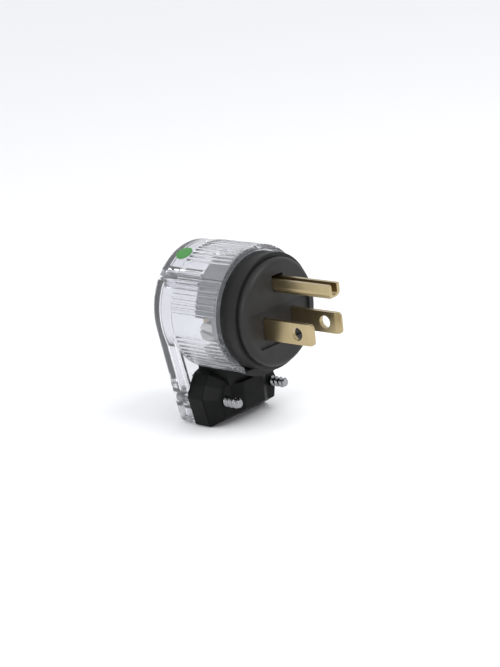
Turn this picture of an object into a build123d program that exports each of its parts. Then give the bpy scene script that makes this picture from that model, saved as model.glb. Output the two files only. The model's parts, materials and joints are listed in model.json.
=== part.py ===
from build123d import *

import math
import os

# A right-angle grounding plug, 15 A and 125 V, with a black front and a clear ribbed rear cover.
#
# The origin is the centre of the round front face. -Y is the way the blades point, +Y goes back into the
# cover, +Z is the ground pin's side, and the cord leaves towards -Z. Sizes are in millimetres.

# ---- Blades and ground pin, at the sizes the outlet fixes ----------------------------------------
BLADE_X = 6.35            # middle of each power blade, either side of the centre
BLADE_Z = -3.3            # height of the blades' middle line
BLADE_WIDTH = 6.35
BLADE_THICK = 1.52
BLADE_TIP = -17.5
BLADE_CORNER_R = 1.3
BEVEL_LONG = 2.1          # the tip thins from both sides
BEVEL_DEEP = 0.42
BLADE_HOLE_Y = -11.6
BLADE_HOLE_R = 1.95
LEG_FRONT = 8.35          # the cross leg lies against the back of the face body
TAIL_X = 12.35            # middle of the tail that carries the terminal screw
TAIL_END = 18.4
GROUND_Z = BLADE_Z + 11.9
GROUND_TIP = -21.1
GROUND_R = 2.4
GROUND_WALL = 1.2
GROUND_LIP = 2.1          # the U's straight walls rise this far above its centre
GROUND_TAIL_Z = 12.3      # underside of the ground tail
NOSE = 1.4                # size of the rounding under the ground pin's tip
PIN_BEVEL = 0.35
PIN_GAP = 0.9             # room above the pin where it leaves the face

# ---- Black front ----------------------------------------------------------------------------------
FACE_R = 16.2
FACE_EDGE = 1.7
PLATE_END = 5.6
BAND_SINK = 0.8           # the sunk band that the blades stand in
BAND_R = 13.2
BAND_HALF = 5.6
BODY_R = 17.5
BODY_FRONT = 2.6          # the face plate stands forward of the body's rim
BODY_EDGE = 0.35
BODY_BACK = 8.3
LUG_BACK = 9.9
LUG_HALF = 9.1            # the lug closes the front of the cover's slot
LUG_R = 19.8
LUG_FRONT = 7.4
TONGUE_R = 18.0           # the tongue roofs the slot behind the lug
TONGUE_TOP = -16.4
TONGUE_END = 16.9

# ---- Contact carrier ------------------------------------------------------------------------------
CARRIER_R = 17.1
CARRIER_BACK = 17.8
POCKET_FRONT = 11.6
POCKET_FLOOR = 7.6        # distance of each terminal pocket's floor from the centre
POCKET_HALF = 4.7
TERMINAL_Y = 15.2
LEG_FIT = 0.1             # room round the metal that passes through the carrier
LIP_TRIM = 0.8            # trims the round of the ground pin level with its lips
PIN_OPEN = 4.0            # how far the pin's open top is cut upwards from its middle

# ---- Clear cover ----------------------------------------------------------------------------------
DRUM_R = 19.4
BAND_OUT_R = 19.1         # smooth band behind the ribs
DRUM_BORE = 17.9
COVER_FRONT = 8.1
COVER_BACK = 34.6
COVER_FLOOR = 32.2        # inside face of the back wall
COVER_EDGE = 2.4
HOLLOW_ROUND = 1.8        # inside corner of the back wall
RIM = 0.8                 # plain lip in front of the ribs
RIB_END = 25.8
RIB_COUNT = 76
RIB_R = 0.62
RIB_RAISE = 0.25          # how far the flutes' centres stand outside the drum
WINDOW_TOP = 47.0         # angle from +X of the two smooth panels beside the top
WINDOW_SIDE = -2.0        # angle from +X of the two smooth panels beside the terminals
WINDOW_HALF = 8.0         # each panel reaches this many degrees either way
ARM_FRONT = 27.2
ARM_FOOT = -34.4
ARM_HALF = 13.0
ARM_WALL = 2.1
FOOT_ROUND = 1.6
REST_THICK = 1.2
REST_FRONT = 28.6
REST_HALF = 7.0
REST_STEP = 4.6           # spacing of the three rests that bear on the cord
CORD_WAY = 8.0            # the cord's way is cut this far above the clamp screws
SLOT_HALF = 9.35
SLOT_OVER = 2.0           # the slot for the lug is cut this far past the drum's wall
POST_R = 3.3

# ---- Cord clamp -----------------------------------------------------------------------------------
CORD_R = 4.5
CLAMP_BACK = 27.08
CLAMP_EAR_FRONT = 21.5
CLAMP_FOOT = -34.7
EAR_TOP = -17.9
EAR_SHOULDER = 11.2
EAR_HALF = 15.2
EAR_MIDDLE = -25.4
EAR_ROUND = 0.8
EAR_DROP = 0.6            # fall of the ears' top from the neck to the shoulder
EAR_CUT_X = 1.8           # size of the sloping corner of each ear, sideways and down
EAR_CUT_Z = 3.4
BOSS_FRONT = 15.9         # front of the thick pads that the clamp screws are threaded in
PAD_INSET = 0.2
PAD_TAPER = 21            # degrees of lean of the pads' sides
PAD_ROUND = 1.3
NECK_HALF = 9.1
NECK_FRONT = 15.4         # leaves room to travel before it meets the lug
NECK_R = 18.25
NECK_FOOT = -21.9
NECK_OVER = 2.2           # how far the neck reaches into the saddle and the drum's outline
SADDLE_FRONT = 13.9
SADDLE_FLAT = 4.5
SADDLE_HALF = 8.4
SADDLE_SIDE = 16.1        # front of the saddle's two side corners
SADDLE_ROUND = 1.2
SADDLE_CHIN = -30.4       # where the saddle's front turns back towards the foot

# ---- Screws ---------------------------------------------------------------------------------------
FIT = 0.05                # radial clearance of a screw in the piece it is threaded in
SEAT_GAP = 0.02           # air under each screw head
TIP_GAP = 0.2             # air before the bottom of a blind screw hole
SMALL_BEVEL = 0.35        # lead-in of the screw tips and pressure plates
BIG_SLOT = 0.9            # widths of the driver slots
SMALL_SLOT = 0.8
CROWN_ROUND = 0.5
CLAMP_SCREW_X = 10.5
CLAMP_SCREW_Z = -26.4
CLAMP_SCREW_R = 1.6
CLAMP_SCREW_TIP = 10.4
CLAMP_SEAT = 30.9
CLAMP_HEAD_R = 2.8
CLAMP_HEAD = 2.6
COVER_SCREW_X = 11.5
COVER_SCREW_Z = 10.5
SMALL_SCREW_R = 1.45      # cover screws and carrier screw
SMALL_HEAD_R = 2.4
SMALL_HEAD = 1.8
HEAD_GAP = 0.2            # room round a sunk head
COVER_SEAT = 31.8
COVER_SCREW_TIP = 6.0
CARRIER_SCREW_Z = -12.9
CARRIER_SEAT = 16.0
CARRIER_SCREW_TIP = 2.6
CARRIER_HOLE_END = 2.3    # bottom of the blind hole in the face plate
TERMINAL_R = 1.75
TERMINAL_HEAD_R = 3.1
TERMINAL_HEAD = 2.3
TERMINAL_CROWN = 0.6
TERMINAL_SLOT_DEEP = 1.1
TERMINAL_END = 7.9        # distance of the screw's inner end from the centre
PLATE_THICK = 1.4
PLATE_NEAR = 8.1          # distance of the loosened pressure plate's inner face from the centre
PLATE_LONG = 5.8
PLATE_DEEP = 5.2
GROUND_DROP = 0.4         # the ground terminal stands this much further out than the side ones

# ---- Green dot ------------------------------------------------------------------------------------
DOT_R = 2.6
DOT_Y = 28.7
DOT_ANGLE = 114.0         # degrees round from +X towards +Z
DOT_THICK = 0.15
DOT_GAP = 0.01


def facing(y):
    """The plane across the plug at depth y, looking forwards: local x is +X and local y is +Z."""
    return Plane(origin=(0, y, 0), x_dir=(1, 0, 0), z_dir=(0, -1, 0))


def looking_out(sign):
    """The plane through the centre that looks out sideways: local x is along Y, local y is +Z."""
    return Plane(origin=(0, 0, 0), x_dir=(0, sign, 0), z_dir=(sign, 0, 0))


def looking_up(z):
    """The level plane at height z: local x is +X and local y is +Y."""
    return Plane.XY.offset(z)


def save(piece, name):
    """Labels a finished piece and writes it to its own STEP file."""
    piece.part.label = name
    export_step(piece.part, f"parts/{name}.step")


def hanging_outline(radius, foot_half, foot):
    """A disc whose two sides leave it along tangents and run down to a flat foot."""
    lean = math.atan2(foot, foot_half) + math.acos(radius / math.hypot(foot_half, foot))
    side_x = radius * math.cos(lean)
    side_z = radius * math.sin(lean)
    with BuildSketch() as outline:
        with BuildLine():
            ThreePointArc((side_x, side_z), (0, radius), (-side_x, side_z))
            Polyline((-side_x, side_z), (-foot_half, foot), (foot_half, foot), (side_x, side_z))
        make_face()
    return outline.sketch


def segment(radius, half, top):
    """The part of a disc that lies below a level line and within a half-width of the middle."""
    with BuildSketch() as piece:
        Circle(radius)
        with Locations((0, top - radius)):
            Rectangle(2 * half, 2 * radius, mode=Mode.INTERSECT)
    return piece.sketch


def blade_holes(clearance):
    """The two blade slots and the U-shaped ground slot, as they pass through the black front."""
    with BuildSketch() as holes:
        with Locations((-BLADE_X, BLADE_Z), (BLADE_X, BLADE_Z)):
            Rectangle(BLADE_THICK + 2 * clearance, BLADE_WIDTH + 2 * clearance)
        with Locations((0, GROUND_Z)):
            Circle(GROUND_R + clearance)
        with Locations((0, GROUND_Z + GROUND_LIP / 2)):
            Rectangle(2 * (GROUND_R + clearance), GROUND_LIP + 2 * clearance)
    return holes.sketch


os.makedirs("parts", exist_ok=True)

SLOT_GAP = 0.05
front_holes = blade_holes(SLOT_GAP)
with BuildSketch() as band:
    add(segment(BAND_R, BAND_R, BLADE_Z + BAND_HALF))
    add(segment(BAND_R, BAND_R, BLADE_Z - BAND_HALF), mode=Mode.SUBTRACT)

# ---- Face plate -----------------------------------------------------------------------------------
with BuildPart() as face_plate:
    with BuildSketch(facing(0)):
        Circle(FACE_R)
    extrude(amount=-PLATE_END)
    front_edge = face_plate.edges().filter_by(GeomType.CIRCLE).sort_by(Axis.Y)[0]
    fillet(front_edge, radius=FACE_EDGE)
    with BuildSketch(facing(0)):
        add(band.sketch)
    extrude(amount=-BAND_SINK, mode=Mode.SUBTRACT)
    with BuildSketch(facing(0)):
        add(front_holes)
        with Locations((0, GROUND_Z + GROUND_LIP)):
            Rectangle(2 * GROUND_R, PIN_GAP, align=(Align.CENTER, Align.MIN))
    extrude(amount=-PLATE_END, mode=Mode.SUBTRACT)
    with BuildSketch(facing(CARRIER_HOLE_END)):
        with Locations((0, CARRIER_SCREW_Z)):
            Circle(SMALL_SCREW_R + FIT)
    extrude(amount=CARRIER_HOLE_END - PLATE_END, mode=Mode.SUBTRACT)
save(face_plate, "face_plate")

# ---- Face body, with the lug and tongue that close the cover's slot --------------------------------
lug_outline = segment(LUG_R, LUG_HALF, TONGUE_TOP)
tongue_outline = segment(TONGUE_R, LUG_HALF, TONGUE_TOP)
with BuildPart() as face_body:
    with BuildSketch(facing(BODY_FRONT)):
        Circle(BODY_R)
    extrude(amount=BODY_FRONT - BODY_BACK)
    fillet(face_body.edges().sort_by(Axis.Y)[0], radius=BODY_EDGE)
    with BuildSketch(facing(LUG_FRONT)):
        add(lug_outline)
    extrude(amount=LUG_FRONT - LUG_BACK)
    with BuildSketch(facing(BODY_BACK)):
        add(tongue_outline)
    extrude(amount=BODY_BACK - TONGUE_END)
    with BuildSketch(facing(BODY_FRONT)):
        Circle(FACE_R + FIT)
    extrude(amount=BODY_FRONT - PLATE_END, mode=Mode.SUBTRACT)
    with BuildSketch(facing(PLATE_END)):
        add(front_holes)
        with Locations((0, CARRIER_SCREW_Z)):
            Circle(SMALL_SCREW_R + FIT)
    extrude(amount=PLATE_END - BODY_BACK, mode=Mode.SUBTRACT)
    with BuildSketch(facing(BODY_BACK)):
        with Locations((-COVER_SCREW_X, COVER_SCREW_Z), (COVER_SCREW_X, COVER_SCREW_Z)):
            Circle(SMALL_SCREW_R + FIT)
    extrude(amount=BODY_BACK - COVER_SCREW_TIP, mode=Mode.SUBTRACT)
save(face_body, "face_body")

# ---- Contact carrier ------------------------------------------------------------------------------
leg_reach = TAIL_X + BLADE_THICK / 2 + LEG_FIT
with BuildPart() as contact_carrier:
    with BuildSketch(facing(BODY_BACK)):
        Circle(CARRIER_R)
        with Locations((0, TONGUE_TOP + FIT - CARRIER_R)):
            Rectangle(2 * CARRIER_R, 2 * CARRIER_R, mode=Mode.SUBTRACT)
    extrude(amount=BODY_BACK - CARRIER_BACK)
    for sign in (-1, 1):
        leg_start = BLADE_X - BLADE_THICK / 2 - LEG_FIT
        with BuildSketch(facing(BODY_BACK)):
            with Locations((sign * (leg_start + leg_reach) / 2, BLADE_Z)):
                Rectangle(leg_reach - leg_start, BLADE_WIDTH + 2 * LEG_FIT)
        extrude(amount=BODY_BACK - POCKET_FRONT, mode=Mode.SUBTRACT)
        with BuildSketch(facing(POCKET_FRONT)):
            with Locations((sign * (POCKET_FLOOR + CARRIER_R) / 2, BLADE_Z)):
                Rectangle(CARRIER_R - POCKET_FLOOR, 2 * POCKET_HALF)
        extrude(amount=POCKET_FRONT - CARRIER_BACK, mode=Mode.SUBTRACT)
    ground_floor = POCKET_FLOOR - 2 * LEG_FIT
    ground_tall = GROUND_TAIL_Z + GROUND_WALL - GROUND_Z + GROUND_R
    with BuildSketch(facing(BODY_BACK)):
        with Locations((0, (GROUND_Z - GROUND_R + GROUND_TAIL_Z + GROUND_WALL) / 2)):
            Rectangle(2 * GROUND_R + 2 * LEG_FIT, ground_tall + 2 * LEG_FIT)
    extrude(amount=BODY_BACK - POCKET_FRONT, mode=Mode.SUBTRACT)
    with BuildSketch(facing(POCKET_FRONT)):
        with Locations((0, (ground_floor + CARRIER_R) / 2)):
            Rectangle(2 * POCKET_HALF, CARRIER_R - ground_floor)
    extrude(amount=POCKET_FRONT - CARRIER_BACK, mode=Mode.SUBTRACT)
    with BuildSketch(facing(BODY_BACK)):
        with Locations((-COVER_SCREW_X, COVER_SCREW_Z), (COVER_SCREW_X, COVER_SCREW_Z)):
            Circle(SMALL_SCREW_R + 2 * FIT)
    extrude(amount=BODY_BACK - CARRIER_BACK, mode=Mode.SUBTRACT)
    with BuildSketch(facing(BODY_BACK)):
        with Locations((0, CARRIER_SCREW_Z)):
            Circle(SMALL_SCREW_R + 2 * FIT)
    extrude(amount=BODY_BACK - CARRIER_BACK, mode=Mode.SUBTRACT)
    with BuildSketch(facing(CARRIER_SEAT)):
        with Locations((0, CARRIER_SCREW_Z)):
            Circle(SMALL_HEAD_R + HEAD_GAP)
    extrude(amount=CARRIER_SEAT - CARRIER_BACK, mode=Mode.SUBTRACT)
save(contact_carrier, "contact_carrier")

# ---- Power blades: a straight contact, a cross leg and a tail for the terminal screw ---------------
for sign, name in ((-1, "neutral_blade"), (1, "hot_blade")):
    inner = sign * (BLADE_X - BLADE_THICK / 2)
    outer = sign * (BLADE_X + BLADE_THICK / 2)
    tail_inner = sign * (TAIL_X - BLADE_THICK / 2)
    tail_outer = sign * (TAIL_X + BLADE_THICK / 2)
    with BuildPart() as blade:
        with BuildSketch(looking_up(BLADE_Z - BLADE_WIDTH / 2)):
            with BuildLine():
                Polyline(
                    (inner, BLADE_TIP),
                    (inner, LEG_FRONT + BLADE_THICK),
                    (tail_inner, LEG_FRONT + BLADE_THICK),
                    (tail_inner, TAIL_END),
                    (tail_outer, TAIL_END),
                    (tail_outer, LEG_FRONT),
                    (outer, LEG_FRONT),
                    (outer, BLADE_TIP),
                    (inner, BLADE_TIP),
                )
            make_face()
        extrude(amount=BLADE_WIDTH)
        tip = blade.faces().sort_by(Axis.Y)[0]
        fillet(tip.edges().filter_by(Axis.X), radius=BLADE_CORNER_R)
        for side, away in ((inner, 1), (outer, -1)):
            with BuildSketch(looking_up(BLADE_Z - BLADE_WIDTH / 2)):
                with BuildLine():
                    Polyline(
                        (side, BLADE_TIP + BEVEL_LONG),
                        (side, BLADE_TIP),
                        (side + away * sign * BEVEL_DEEP, BLADE_TIP),
                        (side, BLADE_TIP + BEVEL_LONG),
                    )
                make_face()
            extrude(amount=BLADE_WIDTH, mode=Mode.SUBTRACT)
        with BuildSketch(looking_out(sign)):
            with Locations((sign * BLADE_HOLE_Y, BLADE_Z)):
                Circle(BLADE_HOLE_R)
            with Locations((sign * TERMINAL_Y, BLADE_Z)):
                Circle(TERMINAL_R + 2 * FIT)
        extrude(amount=TAIL_X + BLADE_THICK, mode=Mode.SUBTRACT)
    save(blade, name)

# ---- Ground pin: a folded U, open upwards, with a raised tail --------------------------------------
pin_inner = GROUND_R - GROUND_WALL
pin_floor = GROUND_Z - GROUND_R
pin_top = GROUND_Z + GROUND_LIP
tail_top = GROUND_TAIL_Z + GROUND_WALL
with BuildPart() as ground_pin:
    with BuildSketch(facing(LEG_FRONT)):
        with Locations((0, GROUND_Z)):
            Circle(GROUND_R)
        with Locations((0, GROUND_Z + GROUND_LIP / 2)):
            Rectangle(2 * GROUND_R, GROUND_LIP)
        with Locations((0, GROUND_Z + GROUND_LIP)):
            Rectangle(2 * GROUND_R, LIP_TRIM, align=(Align.CENTER, Align.MIN), mode=Mode.SUBTRACT)
        with Locations((0, GROUND_Z)):
            Circle(pin_inner, mode=Mode.SUBTRACT)
        with Locations((0, GROUND_Z)):
            Rectangle(2 * pin_inner, PIN_OPEN, align=(Align.CENTER, Align.MIN), mode=Mode.SUBTRACT)
    extrude(amount=LEG_FRONT - GROUND_TIP)
    with BuildSketch(Plane.YZ.offset(-GROUND_R)):
        with BuildLine():
            Polyline(
                (LEG_FRONT, pin_floor),
                (LEG_FRONT + GROUND_WALL, pin_floor),
                (LEG_FRONT + GROUND_WALL, GROUND_TAIL_Z),
                (TAIL_END, GROUND_TAIL_Z),
                (TAIL_END, tail_top),
                (LEG_FRONT, tail_top),
                (LEG_FRONT, pin_floor),
            )
        make_face()
    extrude(amount=2 * GROUND_R)
    with BuildSketch(Plane.YZ.offset(-GROUND_R)):
        with BuildLine():
            Polyline(
                (GROUND_TIP + NOSE, pin_floor),
                (GROUND_TIP + NOSE / 3, pin_floor + NOSE / 3),
                (GROUND_TIP, pin_floor + NOSE),
                (GROUND_TIP, pin_top - PIN_BEVEL),
                (GROUND_TIP + PIN_BEVEL, pin_top),
                (GROUND_TIP + PIN_BEVEL, pin_top + NOSE),
                (GROUND_TIP - NOSE, pin_top + NOSE),
                (GROUND_TIP - NOSE, pin_floor - NOSE),
                (GROUND_TIP + NOSE, pin_floor - NOSE),
                (GROUND_TIP + NOSE, pin_floor),
            )
        make_face()
    extrude(amount=2 * GROUND_R, mode=Mode.SUBTRACT)
    with BuildSketch(looking_up(GROUND_TAIL_Z)):
        with Locations((0, TERMINAL_Y)):
            Circle(TERMINAL_R + 2 * FIT)
    extrude(amount=GROUND_WALL, mode=Mode.SUBTRACT)
save(ground_pin, "ground_pin")

# ---- Terminals: a screw that turns in the tail, and the plate it draws against the tail ------------
ground_plane = Plane(origin=(0, 0, GROUND_DROP), x_dir=(0, 1, 0), z_dir=(0, 0, 1))
terminals = (
    ("neutral", looking_out(-1), (-TERMINAL_Y, BLADE_Z), TAIL_X + BLADE_THICK / 2),
    ("hot", looking_out(1), (TERMINAL_Y, BLADE_Z), TAIL_X + BLADE_THICK / 2),
    ("ground", ground_plane, (TERMINAL_Y, 0), tail_top - GROUND_DROP),
)
for name, base, spot, seat in terminals:
    outwards = Axis((0, 0, 0), base.z_dir)
    with BuildPart() as terminal_screw:
        with BuildSketch(base.offset(TERMINAL_END)):
            with Locations(spot):
                Circle(TERMINAL_R)
        extrude(amount=seat + SEAT_GAP - TERMINAL_END)
        with BuildSketch(base.offset(seat + SEAT_GAP)):
            with Locations(spot):
                Circle(TERMINAL_HEAD_R)
        extrude(amount=TERMINAL_HEAD)
        crown = terminal_screw.faces().sort_by(outwards)[-1]
        fillet(crown.edges(), radius=TERMINAL_CROWN)
        with BuildSketch(base.offset(seat + TERMINAL_HEAD + SEAT_GAP)):
            with Locations(spot):
                Rectangle(2 * TERMINAL_HEAD_R, BIG_SLOT)
        extrude(amount=-TERMINAL_SLOT_DEEP, mode=Mode.SUBTRACT)
    save(terminal_screw, f"{name}_terminal_screw")

    with BuildPart() as pressure_plate:
        with BuildSketch(base.offset(PLATE_NEAR)):
            with Locations(spot):
                Rectangle(PLATE_DEEP, PLATE_LONG)
        extrude(amount=PLATE_THICK)
        chamfer(pressure_plate.faces().sort_by(outwards)[0].edges(), length=SMALL_BEVEL)
        with BuildSketch(base.offset(PLATE_NEAR)):
            with Locations(spot):
                Circle(TERMINAL_R + FIT)
        extrude(amount=PLATE_THICK, mode=Mode.SUBTRACT)
    save(pressure_plate, f"{name}_pressure_plate")

# ---- Clear cover ----------------------------------------------------------------------------------
screw_spots = [(-CLAMP_SCREW_X, CLAMP_SCREW_Z), (CLAMP_SCREW_X, CLAMP_SCREW_Z)]
cover_spots = [(-COVER_SCREW_X, COVER_SCREW_Z), (COVER_SCREW_X, COVER_SCREW_Z)]
back_outline = hanging_outline(BAND_OUT_R, ARM_HALF, ARM_FOOT)
hollow_outline = hanging_outline(BAND_OUT_R - ARM_WALL, ARM_HALF - ARM_WALL, ARM_FOOT + ARM_WALL)
windows = (WINDOW_TOP, 180 - WINDOW_TOP, WINDOW_SIDE, 180 - WINDOW_SIDE)
flute_angles = []
for number in range(RIB_COUNT):
    angle = number * 360 / RIB_COUNT
    misses = [abs((angle - window + 180) % 360 - 180) > WINDOW_HALF for window in windows]
    if all(misses):
        flute_angles.append(math.radians(angle))
flute_r = DRUM_R + RIB_RAISE
flute_spots = [(flute_r * math.cos(angle), flute_r * math.sin(angle)) for angle in flute_angles]
with BuildPart() as cover_hollow:
    with BuildSketch(facing(COVER_FRONT)):
        Circle(DRUM_BORE)
    extrude(amount=COVER_FRONT - COVER_FLOOR)
    with BuildSketch(facing(ARM_FRONT)):
        add(hollow_outline)
    extrude(amount=ARM_FRONT - COVER_FLOOR)
    fillet(cover_hollow.faces().sort_by(Axis.Y)[-1].edges(), radius=HOLLOW_ROUND)

with BuildPart() as rear_cover:
    with BuildSketch(facing(ARM_FRONT)):
        add(back_outline)
    extrude(amount=ARM_FRONT - COVER_BACK)
    foot_corners = rear_cover.edges().filter_by(Axis.Y).group_by(Axis.Z)[0]
    fillet(foot_corners, radius=FOOT_ROUND)
    fillet(rear_cover.faces().sort_by(Axis.Y)[-1].edges(), radius=COVER_EDGE)
    with BuildSketch(facing(COVER_FRONT)):
        Circle(DRUM_R)
    extrude(amount=COVER_FRONT - RIB_END)
    with BuildSketch(facing(RIB_END)):
        Circle(BAND_OUT_R)
    extrude(amount=RIB_END - ARM_FRONT)
    with BuildSketch(facing(COVER_FRONT + RIM)):
        with Locations(flute_spots):
            Circle(RIB_R)
    extrude(amount=COVER_FRONT + RIM - RIB_END, mode=Mode.SUBTRACT)
    add(cover_hollow.part, mode=Mode.SUBTRACT)
    with BuildSketch(facing(COVER_FRONT)):
        with Locations((0, -DRUM_BORE)):
            Rectangle(2 * SLOT_HALF, 2 * DRUM_BORE - 2 * abs(TONGUE_TOP) + 2 * SLOT_OVER)
    extrude(amount=COVER_FRONT - ARM_FRONT, mode=Mode.SUBTRACT)
    with BuildSketch(facing(ARM_FRONT)):
        with Locations(screw_spots):
            Circle(POST_R)
    extrude(amount=ARM_FRONT - COVER_FLOOR)
    with BuildSketch(facing(CARRIER_BACK + FIT)):
        with Locations(cover_spots):
            Circle(POST_R)
    extrude(amount=CARRIER_BACK + FIT - COVER_FLOOR)
    for level in (CLAMP_SCREW_Z - REST_STEP, CLAMP_SCREW_Z, CLAMP_SCREW_Z + REST_STEP):
        with BuildSketch(looking_up(level - REST_THICK / 2)):
            with Locations((0, REST_FRONT)):
                Rectangle(2 * REST_HALF, COVER_FLOOR - REST_FRONT, align=(Align.CENTER, Align.MIN))
        extrude(amount=REST_THICK)
    with BuildSketch(looking_up(ARM_FOOT)):
        with Locations((0, ARM_FRONT)):
            Circle(CORD_R + FIT)
    extrude(amount=CLAMP_SCREW_Z + CORD_WAY - ARM_FOOT, mode=Mode.SUBTRACT)
    with BuildSketch(facing(ARM_FRONT)):
        with Locations(screw_spots):
            Circle(CLAMP_SCREW_R + 2 * FIT)
    extrude(amount=ARM_FRONT - COVER_BACK, mode=Mode.SUBTRACT)
    with BuildSketch(facing(CLAMP_SEAT)):
        with Locations(screw_spots):
            Circle(CLAMP_HEAD_R + HEAD_GAP)
    extrude(amount=CLAMP_SEAT - COVER_BACK, mode=Mode.SUBTRACT)
    with BuildSketch(facing(CARRIER_BACK)):
        with Locations(cover_spots):
            Circle(SMALL_SCREW_R + 2 * FIT)
    extrude(amount=CARRIER_BACK - COVER_BACK, mode=Mode.SUBTRACT)
    with BuildSketch(facing(COVER_SEAT)):
        with Locations(cover_spots):
            Circle(SMALL_HEAD_R + HEAD_GAP)
    extrude(amount=COVER_SEAT - COVER_BACK, mode=Mode.SUBTRACT)
save(rear_cover, "rear_cover")

# ---- Green dot, a thin round patch that follows the smooth band ------------------------------------
dot_side = math.radians(DOT_ANGLE)
dot_out = Plane(
    origin=(0, DOT_Y, 0),
    x_dir=(0, 1, 0),
    z_dir=(math.cos(dot_side), 0, math.sin(dot_side)),
)
with BuildPart() as green_dot:
    with BuildSketch(facing(DOT_Y - DOT_R)):
        Circle(BAND_OUT_R + DOT_THICK)
        Circle(BAND_OUT_R + DOT_GAP, mode=Mode.SUBTRACT)
    extrude(amount=-2 * DOT_R)
    with BuildSketch(dot_out):
        Circle(DOT_R)
    extrude(amount=DRUM_R + 1, mode=Mode.INTERSECT)
save(green_dot, "green_dot")

# ---- Cord clamp: ears on the arm, a saddle over the cord, and a neck that fills the cover's slot ----
with BuildSketch() as ear_outline:
    with BuildLine():
        ear_left = Polyline(
            (-NECK_HALF, EAR_TOP),
            (-EAR_SHOULDER, EAR_TOP - EAR_DROP),
            (-EAR_HALF + EAR_CUT_X, EAR_TOP - EAR_CUT_Z),
            (-EAR_HALF, EAR_MIDDLE),
            (-ARM_HALF, CLAMP_FOOT),
        )
        mirror(ear_left, about=Plane.YZ)
        Line(ear_left @ 1, (ARM_HALF, CLAMP_FOOT))
        Line(ear_left @ 0, (NECK_HALF, EAR_TOP))
    make_face()

with BuildPart() as cord_clamp:
    with BuildSketch(facing(CLAMP_BACK)):
        add(ear_outline.sketch)
    extrude(amount=CLAMP_BACK - CLAMP_EAR_FRONT)
    fillet(cord_clamp.edges().filter_by(Axis.Y), radius=EAR_ROUND)
    with BuildSketch(facing(CLAMP_EAR_FRONT)):
        offset(ear_outline.sketch, amount=-PAD_INSET, kind=Kind.INTERSECTION)
    extrude(amount=CLAMP_EAR_FRONT - BOSS_FRONT, taper=PAD_TAPER)
    pad_rim = cord_clamp.faces().sort_by(Axis.Y)[0].edges()
    fillet(pad_rim, radius=PAD_ROUND)
    with BuildSketch(looking_up(NECK_FOOT)):
        with BuildLine():
            saddle = FilletPolyline(
                (-SADDLE_HALF - 1, CLAMP_EAR_FRONT),
                (-SADDLE_HALF, SADDLE_SIDE),
                (-SADDLE_FLAT, SADDLE_FRONT),
                (SADDLE_FLAT, SADDLE_FRONT),
                (SADDLE_HALF, SADDLE_SIDE),
                (SADDLE_HALF + 1, CLAMP_EAR_FRONT),
                radius=SADDLE_ROUND,
            )
            Line(saddle @ 1, saddle @ 0)
        make_face()
    extrude(amount=CLAMP_FOOT - NECK_FOOT)
    with BuildSketch(Plane.YZ.offset(-EAR_HALF)):
        with BuildLine():
            Polyline(
                (SADDLE_FRONT - 1, SADDLE_CHIN),
                (SADDLE_FRONT, SADDLE_CHIN),
                (CLAMP_EAR_FRONT, CLAMP_FOOT),
                (SADDLE_FRONT - 1, CLAMP_FOOT),
                (SADDLE_FRONT - 1, SADDLE_CHIN),
            )
        make_face()
    extrude(amount=2 * EAR_HALF, mode=Mode.SUBTRACT)
    with BuildSketch(facing(NECK_FRONT)):
        with Locations((0, (NECK_FOOT - NECK_R + NECK_OVER) / 2)):
            Rectangle(2 * NECK_HALF, abs(NECK_FOOT) - NECK_R + NECK_OVER)
        Circle(NECK_R, mode=Mode.SUBTRACT)
    extrude(amount=NECK_FRONT - CLAMP_BACK)
    with BuildSketch(looking_up(CLAMP_FOOT)):
        with Locations((0, ARM_FRONT)):
            Circle(CORD_R)
    extrude(amount=abs(CLAMP_FOOT), mode=Mode.SUBTRACT)
    with BuildSketch(facing(BOSS_FRONT - 1)):
        with Locations(screw_spots):
            Circle(CLAMP_SCREW_R + FIT)
    extrude(amount=BOSS_FRONT - 1 - CLAMP_BACK, mode=Mode.SUBTRACT)
save(cord_clamp, "cord_clamp")


# ---- Long screws, all driven from the back ----------------------------------------------------------
def screw(spot, seat, tip, shank_r, head_r, head, slot):
    """A slotted screw along Y. Its head stands on the seat and its shank runs to the tip."""
    away = 1 if seat > tip else -1
    with BuildPart() as made:
        with BuildSketch(facing(seat)):
            with Locations(spot):
                Circle(head_r)
        extrude(amount=-away * head)
        crown = made.faces().sort_by(Axis.Y)[-1 if away > 0 else 0]
        fillet(crown.edges(), radius=CROWN_ROUND)
        with BuildSketch(facing(seat + away * head)):
            with Locations(spot):
                Rectangle(2 * head_r, slot)
        extrude(amount=away * head / 2, mode=Mode.SUBTRACT)
        with BuildSketch(facing(seat)):
            with Locations(spot):
                Circle(shank_r)
        extrude(amount=seat - tip)
        end = made.faces().sort_by(Axis.Y)[0 if away > 0 else -1]
        chamfer(end.edges(), length=SMALL_BEVEL)
    return made


for spot, name in zip(screw_spots, ("left", "right")):
    long_screw = screw(
        spot,
        CLAMP_SEAT + SEAT_GAP,
        CLAMP_SCREW_TIP,
        CLAMP_SCREW_R,
        CLAMP_HEAD_R,
        CLAMP_HEAD,
        BIG_SLOT,
    )
    save(long_screw, f"clamp_screw_{name}")
for spot, name in zip(cover_spots, ("left", "right")):
    cover_screw = screw(
        spot,
        COVER_SEAT + SEAT_GAP,
        COVER_SCREW_TIP + TIP_GAP,
        SMALL_SCREW_R,
        SMALL_HEAD_R,
        SMALL_HEAD,
        SMALL_SLOT,
    )
    save(cover_screw, f"cover_screw_{name}")
carrier_screw = screw(
    (0, CARRIER_SCREW_Z),
    CARRIER_SEAT + SEAT_GAP,
    CARRIER_SCREW_TIP,
    SMALL_SCREW_R,
    SMALL_HEAD_R,
    SMALL_HEAD,
    SMALL_SLOT,
)
save(carrier_screw, "carrier_screw")
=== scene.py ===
import json
import math

import bmesh
import bpy
from mathutils import Matrix, Vector


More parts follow.
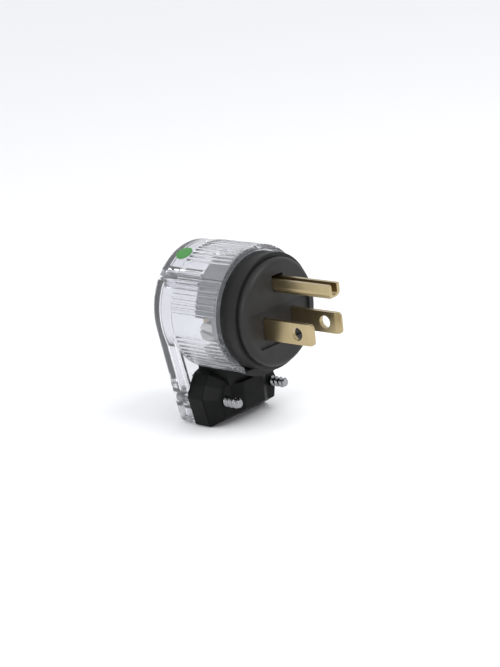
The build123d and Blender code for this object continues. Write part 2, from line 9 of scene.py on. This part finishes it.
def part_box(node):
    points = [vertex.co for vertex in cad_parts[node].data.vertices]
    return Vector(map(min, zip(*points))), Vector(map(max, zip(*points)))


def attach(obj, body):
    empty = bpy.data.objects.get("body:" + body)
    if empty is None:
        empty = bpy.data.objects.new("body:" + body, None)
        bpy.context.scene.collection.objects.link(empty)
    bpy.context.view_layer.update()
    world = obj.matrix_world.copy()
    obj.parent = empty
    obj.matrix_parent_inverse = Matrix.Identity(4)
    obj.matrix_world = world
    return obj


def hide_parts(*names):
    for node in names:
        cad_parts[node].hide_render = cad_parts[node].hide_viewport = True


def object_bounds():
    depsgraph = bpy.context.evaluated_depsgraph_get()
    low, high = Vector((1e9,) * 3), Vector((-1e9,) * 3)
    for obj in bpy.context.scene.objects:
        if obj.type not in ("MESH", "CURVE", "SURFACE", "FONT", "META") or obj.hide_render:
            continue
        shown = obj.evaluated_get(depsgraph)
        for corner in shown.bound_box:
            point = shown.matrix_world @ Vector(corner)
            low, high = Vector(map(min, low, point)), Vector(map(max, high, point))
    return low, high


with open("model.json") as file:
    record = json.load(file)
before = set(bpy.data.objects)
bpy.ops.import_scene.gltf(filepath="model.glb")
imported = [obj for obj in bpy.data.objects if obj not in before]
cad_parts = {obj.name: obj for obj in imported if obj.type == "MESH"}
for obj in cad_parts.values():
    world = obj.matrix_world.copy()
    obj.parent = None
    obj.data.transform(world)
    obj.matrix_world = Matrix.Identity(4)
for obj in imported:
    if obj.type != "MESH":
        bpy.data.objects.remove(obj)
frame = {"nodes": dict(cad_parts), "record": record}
cad_low, cad_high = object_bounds()
nodes = frame["nodes"]

MM = 0.001

# Camera: where it stands round the object, how far it tips sideways, and what it aims at
VIEW_AZIMUTH = -47.35
VIEW_ELEVATION = 16.47
VIEW_ROLL = -6.25
VIEW_DISTANCE = 0.6
VIEW_LENS = 110.6
VIEW_AIM = Vector((-0.00659, 0.00705, -0.00538))


# ---- Materials ------------------------------------------------------------------------------------
def start_material(name):
    """A new node material, with its Principled shader."""
    material = bpy.data.materials.new(name)
    material.use_nodes = True
    tree = material.node_tree
    shader = tree.nodes["Principled BSDF"]
    return material, tree, shader


def add_node(tree, kind, **inputs):
    """A node with its input sockets set by name; spaces in a socket's name are written as underscores."""
    node = tree.nodes.new(kind)
    for socket, value in inputs.items():
        node.inputs[socket.replace("_", " ")].default_value = value
    return node


def object_coordinates(tree, stretch=(1, 1, 1)):
    """Object-space coordinates, stretched along each axis."""
    place = tree.nodes.new("ShaderNodeTexCoord")
    mapping = tree.nodes.new("ShaderNodeMapping")
    mapping.inputs["Scale"].default_value = stretch
    tree.links.new(place.outputs["Object"], mapping.inputs["Vector"])
    return mapping.outputs["Vector"]


def noise(tree, where, scale, detail=4.0, roughness=0.5):
    """Noise over a coordinate, as a factor output."""
    made = add_node(tree, "ShaderNodeTexNoise", Scale=scale, Detail=detail, Roughness=roughness)
    tree.links.new(where, made.inputs["Vector"])
    return made.outputs["Fac"]


def ramp(tree, factor, low, high, start=0.3, end=0.7):
    """A two-colour ramp driven by a factor."""
    made = tree.nodes.new("ShaderNodeValToRGB")
    made.color_ramp.elements[0].position = start
    made.color_ramp.elements[0].color = (*low, 1)
    made.color_ramp.elements[1].position = end
    made.color_ramp.elements[1].color = (*high, 1)
    tree.links.new(factor, made.inputs["Fac"])
    return made.outputs["Color"]


def spread(tree, factor, low, high):
    """A factor mapped from 0..1 onto low..high."""
    made = add_node(tree, "ShaderNodeMapRange", To_Min=low, To_Max=high)
    tree.links.new(factor, made.inputs["Value"])
    return made.outputs["Result"]


def bump(tree, height, depth, strength=1.0, under=None):
    """A bump normal from a height, with depth in metres."""
    made = add_node(tree, "ShaderNodeBump", Strength=strength, Distance=depth)
    tree.links.new(height, made.inputs["Height"])
    if under is not None:
        tree.links.new(under, made.inputs["Normal"])
    return made.outputs["Normal"]


def along_depth(tree, front, behind):
    """A factor that runs from 0 to 1 between two depths along Y, in metres."""
    place = tree.nodes.new("ShaderNodeTexCoord")
    parts = tree.nodes.new("ShaderNodeSeparateXYZ")
    tree.links.new(place.outputs["Object"], parts.inputs["Vector"])
    reach = add_node(tree, "ShaderNodeMapRange", From_Min=front, From_Max=behind)
    tree.links.new(parts.outputs["Y"], reach.inputs["Value"])
    return reach.outputs["Result"]


def blend_colours(tree, factor, first, second):
    """A mix of two colour outputs by a factor output."""
    mix = tree.nodes.new("ShaderNodeMix")
    mix.data_type = "RGBA"
    tree.links.new(factor, mix.inputs["Factor"])
    tree.links.new(first, mix.inputs["A"])
    tree.links.new(second, mix.inputs["B"])
    return mix.outputs["Result"]


def moulded_plastic(name, dark, light, rough_low, rough_high, grain=1.0, gloss=0.5, painted_shade=None):
    """Moulded nylon: a fine spark-eroded grain, slow colour drift and slightly rubbed high spots.

    The painted shade, where given, is (front, behind, tone): the colour is multiplied by tone past that
    depth along Y, a painted shade that makes the part darker behind its front.
    """
    material, tree, shader = start_material(name)
    where = object_coordinates(tree)
    drift = noise(tree, where, 90, 5)
    colour = ramp(tree, drift, dark, light)
    # Painted shade: past the given depth along Y the colour is darkened by tone, in place of the shade
    # that falls on the sides behind the front face.
    if painted_shade is not None:
        front, behind, tone = painted_shade
        shaded_colour = ramp(tree, drift, [tone * part for part in dark], [tone * part for part in light])
        colour = blend_colours(tree, along_depth(tree, front, behind), colour, shaded_colour)
    tree.links.new(colour, shader.inputs["Base Color"])
    tree.links.new(
        spread(tree, noise(tree, where, 260, 3), rough_low, rough_high), shader.inputs["Roughness"]
    )
    fine = bump(tree, noise(tree, where, 4200, 3), 0.000022 * grain)
    slow = bump(tree, noise(tree, where, 220, 2), 0.00005 * grain, under=fine)
    tree.links.new(slow, shader.inputs["Normal"])
    shader.inputs["IOR"].default_value = 1.53
    shader.inputs["Specular IOR Level"].default_value = gloss
    return material


def clear_plastic(name):
    """Clear polycarbonate: refractive, very lightly tinted, with faint flow lines and fine scuffs."""
    material, tree, shader = start_material(name)
    where = object_coordinates(tree)
    shader.inputs["Base Color"].default_value = (0.85, 0.856, 0.885, 1)
    shader.inputs["Transmission Weight"].default_value = 0.95
    shader.inputs["IOR"].default_value = 1.5
    tree.links.new(
        spread(tree, noise(tree, where, 900, 4), 0.02, 0.1), shader.inputs["Roughness"]
    )
    tree.links.new(bump(tree, noise(tree, where, 120, 3), 0.00006), shader.inputs["Normal"])
    return material


def brushed_metal(name, dark, light, rough_low, rough_high, stretch, scratch=1.0):
    """Metal with fine lines along one axis and a slow tarnish."""
    material, tree, shader = start_material(name)
    slow = object_coordinates(tree)
    lines = object_coordinates(tree, stretch)
    tree.links.new(ramp(tree, noise(tree, slow, 170, 6), dark, light), shader.inputs["Base Color"])
    shader.inputs["Metallic"].default_value = 1.0
    tree.links.new(
        spread(tree, noise(tree, lines, 1400, 4), rough_low, rough_high), shader.inputs["Roughness"]
    )
    tree.links.new(
        bump(tree, noise(tree, lines, 2600, 2), 0.000012 * scratch), shader.inputs["Normal"]
    )
    return material


def gloss_ink(name, dark, light):
    """A printed or plated colour with a smooth, slightly uneven surface."""
    material, tree, shader = start_material(name)
    where = object_coordinates(tree)
    tree.links.new(ramp(tree, noise(tree, where, 600, 4), dark, light), shader.inputs["Base Color"])
    tree.links.new(
        spread(tree, noise(tree, where, 1500, 3), 0.22, 0.38), shader.inputs["Roughness"]
    )
    tree.links.new(bump(tree, noise(tree, where, 2500, 2), 0.000015), shader.inputs["Normal"])
    return material


ALONG_BLADE = (6, 0.35, 6)
ROUND_TURNED = (1, 1, 1)
# black_nylon has painted shade: its colour is halved from 1.9 to 2.5 mm behind the front onwards, so the
# flange reads darker than the face.
black_nylon = moulded_plastic(
    "black_nylon", (0.018, 0.018, 0.0175), (0.024, 0.0235, 0.023), 0.38, 0.5, gloss=0.18,
    painted_shade=(1.9 * MM, 2.5 * MM, 0.5),
)
clamp_nylon = moulded_plastic(
    "clamp_nylon", (0.004, 0.0042, 0.0042), (0.007, 0.0073, 0.0072), 0.34, 0.48, gloss=0.08
)
grey_nylon = moulded_plastic("grey_nylon", (0.22, 0.235, 0.25), (0.3, 0.315, 0.33), 0.4, 0.55)
clear = clear_plastic("clear_polycarbonate")
blade_brass = brushed_metal(
    "blade_brass", (0.4, 0.32, 0.175), (0.455, 0.37, 0.215), 0.27, 0.35, ALONG_BLADE, 0.4
)
plate_brass = brushed_metal(
    "plate_brass", (0.5, 0.38, 0.18), (0.6, 0.47, 0.24), 0.3, 0.42, ROUND_TURNED, 0.12
)
brass_screw = brushed_metal(
    "brass_screw", (0.58, 0.43, 0.18), (0.66, 0.5, 0.23), 0.24, 0.34, ROUND_TURNED, 0.12
)
nickel_screw = brushed_metal(
    "nickel_screw", (0.5, 0.49, 0.46), (0.6, 0.59, 0.56), 0.2, 0.3, ROUND_TURNED, 0.12
)
steel_screw = brushed_metal(
    "steel_screw", (0.25, 0.255, 0.26), (0.36, 0.365, 0.375), 0.14, 0.24, ROUND_TURNED, 0.12
)
green_plating = gloss_ink("green_screw", (0.03, 0.14, 0.05), (0.05, 0.22, 0.08))
green_ink = gloss_ink("green_dot", (0.025, 0.17, 0.022), (0.04, 0.22, 0.035))
SLOT_MATERIALS = {
    "black_nylon": black_nylon,
    "clamp_nylon": clamp_nylon,
    "grey_nylon": grey_nylon,
    "clear_polycarbonate": clear,
    "green_dot": green_ink,
    "blade_brass": blade_brass,
    "plate_brass": plate_brass,
    "brass_screw": brass_screw,
    "nickel_screw": nickel_screw,
    "green_screw": green_plating,
    "steel_screw": steel_screw,
}
slot_of = {s["node"]: s["material_slot"] for s in frame["record"]["subparts"]}
body_of = {
    node: body for body, members in frame["record"]["behaviour"]["bodies"].items() for node in members
}
for node_name, piece in nodes.items():
    piece.data.materials.clear()
    piece.data.materials.append(SLOT_MATERIALS[slot_of[node_name]])


# ---- Rounded edges on the moulded and stamped parts -------------------------------------------------
SOFTEN_ANGLE = 35
JOIN_WITHIN = 0.002 * MM


def soften(piece, width):
    """Rounds a CAD part's sharp edges a little, as moulding and stamping do."""
    joined = piece.modifiers.new("join", "WELD")
    joined.merge_threshold = JOIN_WITHIN
    rounding = piece.modifiers.new("soften", "BEVEL")
    rounding.width = width
    rounding.segments = 3
    rounding.limit_method = "ANGLE"
    rounding.angle_limit = math.radians(SOFTEN_ANGLE)
    rounding.harden_normals = True
    rounding.use_clamp_overlap = True


# ---- Threaded screws, in place of the plain CAD ones --------------------------------------------------
SLOT_WIDTH = 0.9 * MM
THREAD_DEPTH = 0.5 * MM
THREAD_FLANK = 0.34       # share of a turn that each flank takes
LEAD_IN = 0.6 * MM        # length of the chamfered end
LEAD_SLOPE = 0.8
PLAIN_NECK = 0.9 * MM     # unthreaded length under the head
HEAD_BREAK = 0.15 * MM    # broken edge under the head
CROWN_SHARE = 0.3         # rounding of the head, as a share of its height
ARC_STEPS = 20
CROWN_STEPS = 6
SHARP_ANGLE = 38
AROUND = 44
RINGS_A_TURN = 14


def thread_depth(turn):
    """How deep the thread is cut at a fraction of a turn: 0 on the crest, 1 at the root."""
    turn = turn % 1.0
    if turn < THREAD_FLANK:
        return turn / THREAD_FLANK
    if turn < 0.5:
        return 1.0
    if turn < 0.5 + THREAD_FLANK:
        return 1.0 - (turn - 0.5) / THREAD_FLANK
    return 0.0


def add_ring(mesh, radius_at, height, count=AROUND):
    """A closed ring of vertices at one height; radius_at gives the radius for each angle."""
    ring = []
    for step in range(count):
        angle = math.tau * step / count
        radius = radius_at(angle)
        ring.append(mesh.verts.new((radius * math.cos(angle), radius * math.sin(angle), height)))
    return ring


def bridge(mesh, low, high):
    """Faces between two rings that have as many vertices as each other."""
    count = len(low)
    for step in range(count):
        after = (step + 1) % count
        mesh.faces.new((low[step], low[after], high[after], high[step]))


def add_shank(mesh, length, radius, pitch):
    """A shank with a rolled right-hand thread and a chamfered end, from its tip up to height 0."""
    count = int(length / pitch * RINGS_A_TURN)
    rings = []
    for number in range(count + 1):
        height = -length + length * number / count
        from_tip, from_seat = height + length, -height

        def radius_at(angle, height=height, from_tip=from_tip, from_seat=from_seat):
            cut = THREAD_DEPTH * thread_depth(height / pitch - angle / math.tau)
            if from_seat < PLAIN_NECK:
                cut = THREAD_DEPTH * 0.5
            lead = max(0.0, LEAD_IN - from_tip) * LEAD_SLOPE
            return radius - max(cut, lead)

        rings.append(add_ring(mesh, radius_at, height))
    for low, high in zip(rings, rings[1:]):
        bridge(mesh, low, high)
    mesh.faces.new(list(reversed(rings[0])))
    mesh.faces.new(rings[-1])


def add_head(mesh, radius, height, slot, crown):
    """A cheese head: a full disc below the slot's floor and two rounded halves above it."""
    floor = height * 0.5
    rings = [add_ring(mesh, lambda angle: radius - HEAD_BREAK, 0.0)]
    rings.append(add_ring(mesh, lambda angle: radius, HEAD_BREAK))
    rings.append(add_ring(mesh, lambda angle: radius, floor))
    for low, high in zip(rings, rings[1:]):
        bridge(mesh, low, high)
    mesh.faces.new(list(reversed(rings[0])))
    mesh.faces.new(rings[-1])
    for side in (1, -1):
        layers = [(radius, floor - 0.01 * MM)]
        for step in range(CROWN_STEPS + 1):
            lean = math.pi / 2 * step / CROWN_STEPS
            layers.append(
                (radius - crown * (1 - math.cos(lean)), height - crown * (1 - math.sin(lean)))
            )
        outlines = []
        for reach, level in layers:
            widest = math.acos(slot / 2 / reach)
            outline = []
            for step in range(ARC_STEPS + 1):
                angle = -widest + 2 * widest * step / ARC_STEPS
                place = (side * reach * math.cos(angle), side * reach * math.sin(angle), level)
                outline.append(mesh.verts.new(place))
            outlines.append(outline)
        for low, high in zip(outlines, outlines[1:]):
            bridge(mesh, low, high)
        mesh.faces.new(list(reversed(outlines[0])))
        mesh.faces.new(outlines[-1])


def threaded_screw(node, outwards, seat, length, shank_r, pitch, head_r, head, turn):
    """A slotted, threaded screw that stands in for a CAD screw. outwards is the way its head points."""
    mesh = bmesh.new()
    add_shank(mesh, length, shank_r, pitch)
    add_head(mesh, head_r, head, SLOT_WIDTH, head * CROWN_SHARE)
    bmesh.ops.recalc_face_normals(mesh, faces=mesh.faces)
    data = bpy.data.meshes.new(node + "_threaded")
    mesh.to_mesh(data)
    mesh.free()
    for face in data.polygons:
        face.use_smooth = True
    piece = bpy.data.objects.new(node + "_threaded", data)
    bpy.context.scene.collection.objects.link(piece)
    spin = Matrix.Rotation(turn, 4, "Z")
    place = Vector(outwards).to_track_quat("Z", "Y").to_matrix().to_4x4()
    piece.matrix_world = Matrix.Translation(seat) @ place @ spin
    data.materials.append(SLOT_MATERIALS[slot_of[node]])
    data.set_sharp_from_angle(angle=math.radians(SHARP_ANGLE))
    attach(piece, body_of[node])
    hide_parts(node)


def seat_of(node, outwards, head):
    """The middle of a screw's seat, the length of its shank and its head's radius, from its CAD box."""
    low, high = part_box(node)
    middle = (low + high) / 2
    way = Vector(outwards)
    axis = max(range(3), key=lambda index: abs(way[index]))
    across = (axis + 1) % 3
    top = high[axis] if way[axis] > 0 else low[axis]
    seat = middle.copy()
    seat[axis] = top - way[axis] * head
    return seat, high[axis] - low[axis] - head, (high[across] - low[across]) / 2


TURN_APART = 0.9          # radians between one screw's rest turn and the next one's
CLAMP_PITCH = 1.69 * MM
LONG_PITCH = 0.794 * MM
SMALL_PITCH = 0.706 * MM
SCREWS = (
    ("clamp_screw_left", (0, 1, 0), 2.6 * MM, 1.6 * MM, CLAMP_PITCH),
    ("clamp_screw_right", (0, 1, 0), 2.6 * MM, 1.6 * MM, CLAMP_PITCH),
    ("cover_screw_left", (0, 1, 0), 1.8 * MM, 1.45 * MM, SMALL_PITCH),
    ("cover_screw_right", (0, 1, 0), 1.8 * MM, 1.45 * MM, SMALL_PITCH),
    ("carrier_screw", (0, 1, 0), 1.8 * MM, 1.45 * MM, SMALL_PITCH),
    ("neutral_terminal_screw", (-1, 0, 0), 2.3 * MM, 1.75 * MM, LONG_PITCH),
    ("hot_terminal_screw", (1, 0, 0), 2.3 * MM, 1.75 * MM, LONG_PITCH),
    ("ground_terminal_screw", (0, 0, 1), 2.3 * MM, 1.75 * MM, LONG_PITCH),
)
for number, (node, outwards, head, shank_r, pitch) in enumerate(SCREWS):
    seat, length, head_r = seat_of(node, outwards, head)
    threaded_screw(node, outwards, seat, length, shank_r, pitch, head_r, head, TURN_APART * number)


# ---- Rounded edges ------------------------------------------------------------------------------------
EDGE_ROUNDING = {
    "face_plate": 0.12, "face_body": 0.1, "cord_clamp": 0.25, "contact_carrier": 0.2,
    "neutral_blade": 0.12, "hot_blade": 0.12, "ground_pin": 0.14,
    "neutral_pressure_plate": 0.1, "hot_pressure_plate": 0.1, "ground_pressure_plate": 0.1,
}
for node_name, width in EDGE_ROUNDING.items():
    soften(nodes[node_name], width * MM)


# ---- Camera, floor and light ------------------------------------------------------------------------
FLOOR_SIZE = 60
FLOOR_GAP = 0.2 * MM
BOUNCES = 40


def aim_camera():
    """Puts the camera at the photograph's angle, tipped sideways as it was held."""
    azimuth, elevation = math.radians(VIEW_AZIMUTH), math.radians(VIEW_ELEVATION)
    roll = math.radians(VIEW_ROLL)
    back = Vector(
        (
            math.sin(azimuth) * math.cos(elevation),
            -math.cos(azimuth) * math.cos(elevation),
            math.sin(elevation),
        )
    )
    level = Vector((math.cos(azimuth), math.sin(azimuth), 0))
    upright = back.cross(level)
    right = level * math.cos(roll) + upright * math.sin(roll)
    up = upright * math.cos(roll) - level * math.sin(roll)
    data = bpy.data.cameras.new("camera")
    data.lens = VIEW_LENS
    data.clip_start, data.clip_end = 0.01, 20
    camera = bpy.data.objects.new("camera", data)
    turn = Matrix((right, up, back)).transposed().to_4x4()
    camera.matrix_world = Matrix.Translation(VIEW_AIM + back * VIEW_DISTANCE) @ turn
    bpy.context.scene.collection.objects.link(camera)
    bpy.context.scene.camera = camera


def area_light(name, place, size, power):
    """A square soft light that looks at the object's middle."""
    data = bpy.data.lights.new(name, "AREA")
    data.size = size
    data.energy = power
    light = bpy.data.objects.new(name, data)
    middle = (cad_low + cad_high) / 2
    light.location = middle + Vector(place)
    light.rotation_euler = Vector(place).to_track_quat("Z", "Y").to_euler()
    bpy.context.scene.collection.objects.link(light)


def pale_floor():
    """A wide pale floor just under the object."""
    place = (0, 0, cad_low.z - FLOOR_GAP)
    bpy.ops.mesh.primitive_plane_add(size=FLOOR_SIZE, location=place)
    floor = bpy.context.object
    floor.name = "floor"
    material, tree, shader = start_material("floor")
    shader.inputs["Base Color"].default_value = (0.93, 0.93, 0.935, 1)
    shader.inputs["Roughness"].default_value = 0.9
    floor.data.materials.append(material)


def studio():
    """An even white surround, with a large soft key above and to the right."""
    world = bpy.data.worlds.new("studio")
    world.use_nodes = True
    world.node_tree.nodes["Background"].inputs["Color"].default_value = (0.97, 0.98, 1.0, 1)
    world.node_tree.nodes["Background"].inputs["Strength"].default_value = 0.95
    bpy.context.scene.world = world
    area_light("key", (0.05, -0.35, 0.45), 0.3, 1.6)
    area_light("side", (-0.5, -0.05, 0.25), 0.25, 0.8)
    scene = bpy.context.scene
    scene.view_settings.view_transform = "Standard"
    scene.cycles.transmission_bounces = BOUNCES
    scene.cycles.max_bounces = BOUNCES


aim_camera()
pale_floor()
studio()
